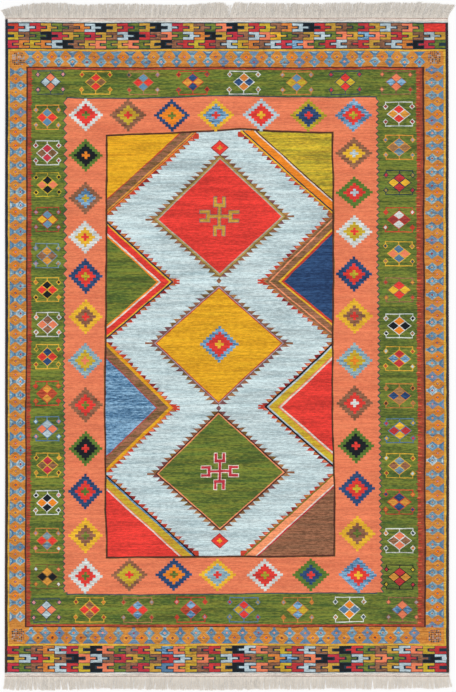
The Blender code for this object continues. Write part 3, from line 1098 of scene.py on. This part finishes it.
def weaveTop(cloth):
    areas = weaveRug()
    longest, step = sheetMesh["longestEdge"], sheetMesh["grid"]
    random.seed(8)
    outlines = [spaced(sheetOutline(), longest)]
    outlines += [unsteady(spaced(list(outline), longest)) for dye, outline in areas]
    dyes = ["undyed"] + [dye for dye, outline in areas]
    across, along = [int(sheet[half] * sheetMesh["gridReach"] / step) for half in ("halfWide", "halfLong")]
    loose = [(step * (i + 0.5 * (j % 2)), step * j)
             for j in range(-along, along + 1) for i in range(-across, across)]
    points, kept, _ = joined(outlines, loose)
    tops = {}

    def vertex(i):
        if i not in tops:
            x, y = points[i]
            worldX, worldY = onRug(x, y)
            tops[i] = cloth.mesh.verts.new((worldX, worldY, lift(worldX, worldY) + topHeight(x, y)))
        return tops[i]

    random.seed(3)
    shades = [random.uniform(*sheetMesh["shades"]) for dye in dyes]
    for corners, cover in kept:
        cloth.face([vertex(i) for i in corners], dyes[cover], shades[cover])
    loop, rim = rimOf(kept)
    return tops, [tuple(points[i]) for i in loop], loop, [dyes[rim[i][1]] for i in loop]


def weaveUnderside(cloth, tops, rimPoints, loop, rimDyes):
    # the same bands, with none of the small motifs, closed to the top round the rim; the underside and the
    # rim's sides are painted 5% darker, a painted shade
    inset, step, shade = sheetMesh["underInset"], sheetMesh["underGrid"], sheetMesh["underPaintedShade"]
    bands, dyes = [rimPoints], ["undyed"]
    for dye, name in underBands:
        left, low, right, high = frames[name]
        left, low, right, high = left + inset, low + inset, right - inset, high - inset
        bands.append(spaced([(left, low), (right, low), (right, high), (left, high)], step))
        dyes.append(dye)
    across, along = sheetMesh["underReach"]
    loose = [(step * i, step * j) for j in range(-along, along + 1) for i in range(-across, across + 1)]
    points, kept, came = joined(bands, loose)
    bottoms, under = [], {}
    for (x, y), olds in zip(points, came):
        rimPoint = [loop[k] for k in olds if k < len(loop)]
        worldX, worldY = tops[rimPoint[-1]].co.xy if rimPoint else onRug(x, y)
        bottoms.append(cloth.mesh.verts.new((worldX, worldY, lift(worldX, worldY))))
        if rimPoint:
            under[rimPoint[-1]] = bottoms[-1]
    for corners, cover in kept:
        cloth.face([bottoms[i] for i in reversed(corners)], dyes[cover], shade)
    # the rim's sides carry the same painted shade as the underside
    for (a, b), dye in zip(sidesOf(loop), rimDyes):
        cloth.face([tops[b], tops[a], under[a], under[b]], dye, shade)


def weaveSheet():
    cloth = Cloth()
    weaveUnderside(cloth, *weaveTop(cloth))
    cloth.mesh.normal_update()
    bmesh.ops.delete(cloth.mesh, geom=[point for point in cloth.mesh.verts if not point.link_faces],
                     context="VERTS")
    openEdges = [side for side in cloth.mesh.edges if len(side.link_faces) != 2]
    print("woven sheet:", len(cloth.mesh.faces), "faces,", len(openEdges), "open edges")
    mesh = bpy.data.meshes.new("wovenSheet")
    cloth.mesh.to_mesh(mesh)
    cloth.mesh.free()
    return newPiece("wovenSheet", mesh, wovenWool())


class Maker(Nodes):
    # a tree of geometry nodes whose inputs are the sizes in a piece's settings
    def __init__(self, name, sizes):
        tree = bpy.data.node_groups.new(name, "GeometryNodeTree")
        super().__init__(tree)
        self.sizes = sizes
        tree.interface.new_socket("Geometry", in_out="INPUT", socket_type="NodeSocketGeometry")
        for label, value in sizes.items():
            kind = "NodeSocketInt" if isinstance(value, int) else "NodeSocketFloat"
            tree.interface.new_socket(label, in_out="INPUT", socket_type=kind)
        tree.interface.new_socket("Geometry", in_out="OUTPUT", socket_type="NodeSocketGeometry")
        self.given = self.put("NodeGroupInput").outputs

    def circle(self, sides, radius):
        return self.out("GeometryNodeCurvePrimitiveCircle", {"Resolution": sides, "Radius": radius})

    def spaced(self, length):
        return self.out("GeometryNodeResampleCurve", {"Curve": self.given["Geometry"], "Length": length},
                        mode="LENGTH")

    def tube(self, path, section):
        return self.put("GeometryNodeCurveToMesh",
                        {"Curve": path, "Profile Curve": section, "Fill Caps": True})

    def moved(self, geometry, offset):
        return self.out("GeometryNodeSetPosition", {"Geometry": geometry, "Offset": offset})

    def done(self, material, *parts):
        whole = self.put("GeometryNodeJoinGeometry")
        for part in parts:
            self.feed(whole.inputs[0], part)
        real = self.out("GeometryNodeRealizeInstances", {"Geometry": whole.outputs[0]})
        dressed = self.out("GeometryNodeSetMaterial", {"Geometry": real, "Material": material})
        self.feed(self.put("NodeGroupOutput").inputs["Geometry"], dressed)
        self.material = material
        return self

    def make(self, name, holder):
        # runs the tree on its holder and keeps the result as a plain mesh
        modifier = holder.modifiers.new(name, "NODES")
        modifier.node_group = self.tree
        for item in self.tree.interface.items_tree:
            if item.in_out == "INPUT" and item.name in self.sizes:
                modifier[item.identifier] = self.sizes[item.name]
        bpy.context.view_layer.update()
        evaluated = holder.evaluated_get(bpy.context.evaluated_depsgraph_get())
        mesh = bpy.data.meshes.new_from_object(evaluated)
        mesh.name = name
        holder.modifiers.clear()
        bpy.data.objects.remove(holder, do_unlink=True)
        mesh.polygons.foreach_set("use_smooth", [True] * len(mesh.polygons))
        print(name + ":", len(mesh.polygons), "faces")
        return newPiece(name, mesh, self.material)


def heldBy(name, data):
    holder = bpy.data.objects.new(name, data)
    bpy.context.scene.collection.objects.link(holder)
    return holder


def guideCurve(name, path):
    data = bpy.data.curves.new(name, "CURVE")
    data.dimensions = "3D"
    spline = data.splines.new("POLY")
    spline.points.add(len(path) - 1)
    for point, spot in zip(spline.points, path):
        point.co = (*spot, 1.0)
    return heldBy(name, data)


selvedge = {
    "Wrap Pitch": 0.0029,
    "Half Width": 0.0054,
    "Half Height": 0.0019,
    "Yarn": 0.0017,
    "Slant": 0.16,
    "Unevenness": 0.05,
}
selvedgePath = {
    "width": 0.0115,
    "height": 0.0056,
    "steps": 90,
    "wrapSides": 9,
    "yarnSides": 5,
    "coreSides": 10,
    "coreStep": 0.02,
    "seed": 4,
}


def selvedgeMaker(material):
    # separate turns of wool round a bundle of warps
    nodes = Maker("wrappedEdge", selvedge)
    size = nodes.given
    scale = nodes.vector(size["Half Width"], size["Half Height"], 1.0)
    ring = nodes.circle(selvedgePath["wrapSides"], 1.0)
    oval = nodes.out("GeometryNodeTransform", {"Geometry": ring, "Scale": scale})
    turn = nodes.vector(pi / 2, 0.0, size["Slant"])
    upright = nodes.out("GeometryNodeTransform", {"Geometry": oval, "Rotation": turn})
    section = nodes.circle(selvedgePath["yarnSides"], nodes.times(size["Yarn"], 0.5))
    wrap = nodes.tube(upright, section).outputs[0]
    grow = nodes.put("FunctionNodeRandomValue", data_type="FLOAT")
    given = {
        "Min": nodes.minus(1.0, size["Unevenness"]),
        "Max": nodes.plus(1.0, size["Unevenness"]),
        "Seed": selvedgePath["seed"],
    }
    for socket in grow.inputs:
        if socket.enabled and socket.name in given:
            nodes.feed(socket, given[socket.name])
    growth = [socket for socket in grow.outputs if socket.enabled][0]
    wraps = nodes.out("GeometryNodeInstanceOnPoints",
                      {"Points": nodes.spaced(size["Wrap Pitch"]), "Instance": wrap, "Scale": growth})
    core = nodes.circle(selvedgePath["coreSides"], 1.0)
    core = nodes.out("GeometryNodeTransform", {"Geometry": core, "Scale": scale})
    path = nodes.spaced(selvedgePath["coreStep"])
    path = nodes.out("GeometryNodeSetCurveNormal", {"Curve": path}, mode="Z_UP")
    return nodes.done(material, wraps, nodes.tube(path, core).outputs[0])


def makeSelvedge(name, edge, inward, low, high, maker):
    path = []
    for i in range(selvedgePath["steps"] + 1):
        y = low + (high - low) * i / selvedgePath["steps"]
        x = edge(y) + inward * selvedgePath["width"] / 2
        path.append((x, y, selvedgePath["height"] / 2 + lift(x, y)))
    return maker.make(name, guideCurve(name, path))


endCord = {
    "Step": 0.00125,
    "Steps a Turn": 8.0,
    "Twist Radius": 0.00075,
    "Strand": 0.0009,
}
endCordPath = {"radius": 0.0017, "steps": 80, "strandSides": 5}


def twinedMaker(material):
    # two strands that turn round each other
    nodes = Maker("twinedCord", endCord)
    size = nodes.given
    path = nodes.spaced(size["Step"])
    turn = nodes.sum("DIVIDE", nodes.out("GeometryNodeInputIndex"), size["Steps a Turn"])
    section = nodes.circle(endCordPath["strandSides"], size["Strand"])
    tubes = []
    for number, phase in enumerate((0.0, pi)):
        angle = nodes.plus(nodes.times(turn, 2 * pi), phase)
        sideways = nodes.times(nodes.sum("COSINE", angle), size["Twist Radius"])
        upward = nodes.times(nodes.sum("SINE", angle), size["Twist Radius"])
        turned = nodes.moved(path, nodes.vector(0.0, sideways, upward))
        turned = nodes.out("GeometryNodeStoreNamedAttribute",
                           {"Geometry": turned, "Name": "strand", "Value": float(number)},
                           data_type="FLOAT", domain="POINT")
        tubes.append(nodes.tube(turned, section).outputs[0])
    return nodes.done(material, *tubes)


def makeEndCord(name, end, maker):
    first, last = leftEdge(end), rightEdge(end)
    path = []
    for i in range(endCordPath["steps"] + 1):
        across = i / endCordPath["steps"]
        x, y = first + (last - first) * across, end + endLine(across)
        path.append((x, y, endCordPath["radius"] + lift(x, y)))
    return maker.make(name, guideCurve(name, path))


fringe = {
    "Points": 8,
    "Thickness": 0.00165,
    "Taper": 0.3,
    "Curl": 2.1,
}
strand = {  # what differs from one to the next, in metres
    "sides": 5,
    "bend": 1.35,  # the lean grows with this power of the length
    "lockWide": (0.55, 1.5),  # times the lock's own width
    "swing": 0.0018,
    "longer": (0.96, 1.04),
    "gathered": (0.6, 1.15),
    "raggedEnds": 0.7,
    "start": 0.0012,
    "lowest": 0.0010,
    "stacked": 0.0016,
    "curl": (0.0003, 0.0022),
    "rise": (-0.0002, 0.0012),
    "lockTone": 0.5,
}
# Strands of warp past the end cords: how far they reach and lean at places across the rug, in millimetres.
fringeTop = {
    "seed": 21,
    "side": 1,
    "strands": 2400,
    "lock": 9.0,  # strands in a lock this wide gather towards its middle
    "gather": 0.10,
    "scatter": 3.6,
    "ragged": 0.09,
    "paler": 0.0,
    "reach": [(0, 38), (8, 40), (20, 46), (40, 52), (75, 62), (120, 67), (180, 73), (260, 70), (330, 62),
              (420, 67), (560, 66), (760, 62), (840, 66), (930, 73), (985, 74), (1000, 60), (1020, 72),
              (1150, 69), (1250, 67), (1400, 69), (1700, 70), (1850, 74), (1930, 68), (2000, 62)],
    "lean": [(0, -19), (30, -10), (80, 0), (150, 5), (300, 2), (450, 4), (700, 12), (860, 20), (960, 8),
             (996, -6), (1008, 14), (1060, 18), (1150, 8), (1400, 4), (1600, 12), (1750, 20), (1880, 26),
             (1960, 34), (2000, 34)],
}
fringeBottom = {
    "seed": 22,
    "side": -1,
    "strands": 2300,
    "lock": 13.0,
    "gather": 0.35,
    "scatter": 2.6,
    "ragged": 0.08,
    "paler": 0.45,
    "reach": [(0, 59), (60, 64), (200, 63), (330, 60), (420, 56), (600, 59), (760, 62), (1000, 62),
              (1300, 60), (1500, 57), (1640, 60), (1800, 56), (1930, 56), (2005, 50)],
    "lean": [(0, -12), (30, -9), (80, -3), (150, 3), (300, 5), (450, 0), (600, -4), (800, 3), (1000, 5),
             (1200, -3), (1500, 3), (1750, -2), (1900, 3), (1980, 4), (2005, 9)],
}


def along(table, place):
    for (x0, y0), (x1, y1) in zip(table, table[1:]):
        if place <= x1:
            return y0 + (y1 - y0) * max(place - x0, 0) / (x1 - x0)
    return table[-1][1]


def fringeMaker(material):
    # one strand at each root, bent by the values that its root carries
    nodes = Maker("warpFringe", fringe)
    size = nodes.given

    def carried(label):
        node = nodes.put("GeometryNodeInputNamedAttribute", {"Name": label}, data_type="FLOAT")
        return node.outputs["Attribute"]

    line = nodes.out("GeometryNodeCurvePrimitiveLine", {"End": (0.0, 1.0, 0.0)})
    line = nodes.out("GeometryNodeResampleCurve", {"Curve": line, "Count": size["Points"]}, mode="COUNT")
    strands = nodes.out("GeometryNodeInstanceOnPoints", {"Points": size["Geometry"], "Instance": line})
    strands = nodes.out("GeometryNodeRealizeInstances", {"Geometry": strands})
    share = nodes.put("GeometryNodeSplineParameter").outputs["Factor"]
    turn = nodes.plus(nodes.times(share, nodes.times(size["Curl"], 2 * pi)), carried("phase"))
    wave = nodes.times(nodes.times(nodes.sum("SINE", turn), carried("curl")), share)
    leaning = nodes.times(carried("lean"), nodes.sum("POWER", share, strand["bend"]))
    sideways = nodes.plus(leaning, wave)
    onward = nodes.minus(nodes.times(carried("reach"), share), share)
    upward = nodes.times(nodes.sum("SINE", nodes.times(share, pi)), carried("rise"))
    bent = nodes.moved(strands, nodes.vector(sideways, onward, upward))
    thin = nodes.minus(1.0, nodes.times(share, size["Taper"]))
    radius = nodes.times(nodes.times(size["Thickness"], 0.5), thin)
    bent = nodes.out("GeometryNodeSetCurveRadius", {"Curve": bent, "Radius": radius})
    tube = nodes.tube(bent, nodes.circle(strand["sides"], 1.0))
    if "Scale" in tube.inputs:
        nodes.feed(tube.inputs["Scale"], nodes.out("GeometryNodeInputRadius"))
    return nodes.done(material, tube.outputs[0])


def layLocks(shape, width):
    # where each lock of strands begins and ends, how far it swings, how much longer it is and its tone
    ends = [0.0]
    while ends[-1] < width:
        ends.append(ends[-1] + shape["lock"] / 1000 * random.uniform(*strand["lockWide"]))
    return [(a, b, random.gauss(0, strand["swing"]), random.uniform(*strand["longer"]), random.random())
            for a, b in zip(ends, ends[1:])]


def makeFringe(name, end, shape, maker):
    random.seed(shape["seed"])
    first, last = leftEdge(end), rightEdge(end)
    width, side, count = last - first, shape["side"], shape["strands"]
    roots, values = [], {"lean": [], "reach": [], "curl": [], "phase": [], "rise": [], "tone": []}
    locks = layLocks(shape, width)
    which = 0
    for i in range(count):
        place = width * (i + random.random()) / count
        while place > locks[which][1] and which < len(locks) - 1:
            which += 1
        low, high, swing, longer, shade = locks[which]
        gather = ((low + high) / 2 - place) * (shape["gather"] * random.uniform(*strand["gathered"]))
        x, y = first + place, end + endLine(place / width)
        ragged = 1 - shape["ragged"] * random.random() ** strand["raggedEnds"]
        lean = along(shape["lean"], place * 1000) / 1000 + gather + swing
        lean += random.gauss(0, shape["scatter"] / 1000)
        z = strand["lowest"] + strand["stacked"] * random.random() + lift(x, y)
        roots.append((x, y + side * strand["start"], z))
        values["lean"].append(lean)
        values["reach"].append(side * along(shape["reach"], place * 1000) / 1000 * longer * ragged)
        values["curl"].append(random.uniform(*strand["curl"]))
        values["phase"].append(random.uniform(0, 2 * pi))
        values["rise"].append(random.uniform(*strand["rise"]))
        tone = strand["lockTone"] * shade + (1 - strand["lockTone"]) * random.random() - shape["paler"]
        values["tone"].append(min(max(tone, 0), 1))
    mesh = bpy.data.meshes.new(name + "Roots")
    mesh.from_pydata(roots, [], [])
    for label, numbers in values.items():
        mesh.attributes.new(label, "FLOAT", "POINT").data.foreach_set("value", numbers)
    return maker.make(name, heldBy(name + "Roots", mesh))


# All seven pieces, each in place of one node of the part.
wovenSheet = weaveSheet()

wrapping = selvedgeMaker(bindingWool())
lowEnd, highEnd = bottomEnd + rug["webBottom"], topEnd - rug["webTop"]
leftHigh = highEnd + sheet["leftPastWeb"] / 1000
leftBinding = makeSelvedge("leftBinding", leftEdge, 1, lowEnd, leftHigh, wrapping)
rightBinding = makeSelvedge("rightBinding", rightEdge, -1, lowEnd, highEnd, wrapping)

twining = twinedMaker(twineWool())
topCord = makeEndCord("topCord", topEnd, twining)
bottomCord = makeEndCord("bottomCord", bottomEnd, twining)

strands = fringeMaker(fringeCotton())
topFringe = makeFringe("topFringe", topEnd, fringeTop, strands)
bottomFringe = makeFringe("bottomFringe", bottomEnd, fringeBottom, strands)

standsFor = [
    (wovenSheet, "rug_body", "woven_wool"),
    (leftBinding, "selvedge_left", "binding_wool"),
    (rightBinding, "selvedge_right", "binding_wool"),
    (topCord, "end_cord_top", "cord_wool"),
    (bottomCord, "end_cord_bottom", "cord_wool"),
    (topFringe, "fringe_top", "fringe_cotton"),
    (bottomFringe, "fringe_bottom", "fringe_cotton"),
]
for piece, node, slot in standsFor:
    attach(piece, "root")
    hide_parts(node)


# Floor, light and camera.
stageSizes = {
    "floor": 200.0,
    "below": 0.0006,
    "floorColour": 0.97,
    "sky": 0.66,
    "sun": 1.22,
    "softness": 0.9,
    "sunTilt": (0.30, -0.22, 0.0),
    "lens": 100.0,
    "sensor": 36.0,
    "farthest": 100,
    "frameHigh": 3.121,  # what the camera takes in from top to bottom
    "lookX": -0.0014,
    "lookY": -0.0020,
}


def placed(name, data):
    item = bpy.data.objects.new(name, data)
    bpy.context.scene.collection.objects.link(item)
    return item


def setFloor():
    half, z, level = stageSizes["floor"] / 2, -stageSizes["below"], stageSizes["floorColour"]
    mesh = bpy.data.meshes.new("floor")
    mesh.from_pydata([(-half, -half, z), (half, -half, z), (half, half, z), (-half, half, z)], [],
                     [(0, 1, 2, 3)])
    pale = bpy.data.materials.new("paleFloor")
    pale.use_nodes = True
    shader = pale.node_tree.nodes["Principled BSDF"].inputs
    shader["Base Color"].default_value = (level, level, level, 1)
    shader["Roughness"].default_value = 1.0
    shader["Specular IOR Level"].default_value = 0.0
    newPiece("floor", mesh, pale)


def setLight():
    world = bpy.data.worlds.new("softRoom")
    world.use_nodes = True
    background = world.node_tree.nodes["Background"].inputs
    background["Color"].default_value = (1, 1, 1, 1)
    background["Strength"].default_value = stageSizes["sky"]
    bpy.context.scene.world = world
    data = bpy.data.lights.new("softSun", "SUN")
    data.energy = stageSizes["sun"]
    data.angle = stageSizes["softness"]
    placed("softSun", data).rotation_euler = stageSizes["sunTilt"]


def setCamera():
    data = bpy.data.cameras.new("above")
    data.lens = stageSizes["lens"]
    data.sensor_width = stageSizes["sensor"]
    data.clip_end = stageSizes["farthest"]
    camera = placed("above", data)
    distance = stageSizes["frameHigh"] * stageSizes["lens"] / stageSizes["sensor"]
    camera.location = (stageSizes["lookX"], stageSizes["lookY"], distance + rug["thickness"])
    bpy.context.scene.camera = camera
    bpy.context.scene.view_settings.view_transform = "Standard"


setFloor()
setLight()
setCamera()
print("floor, light and camera are set")
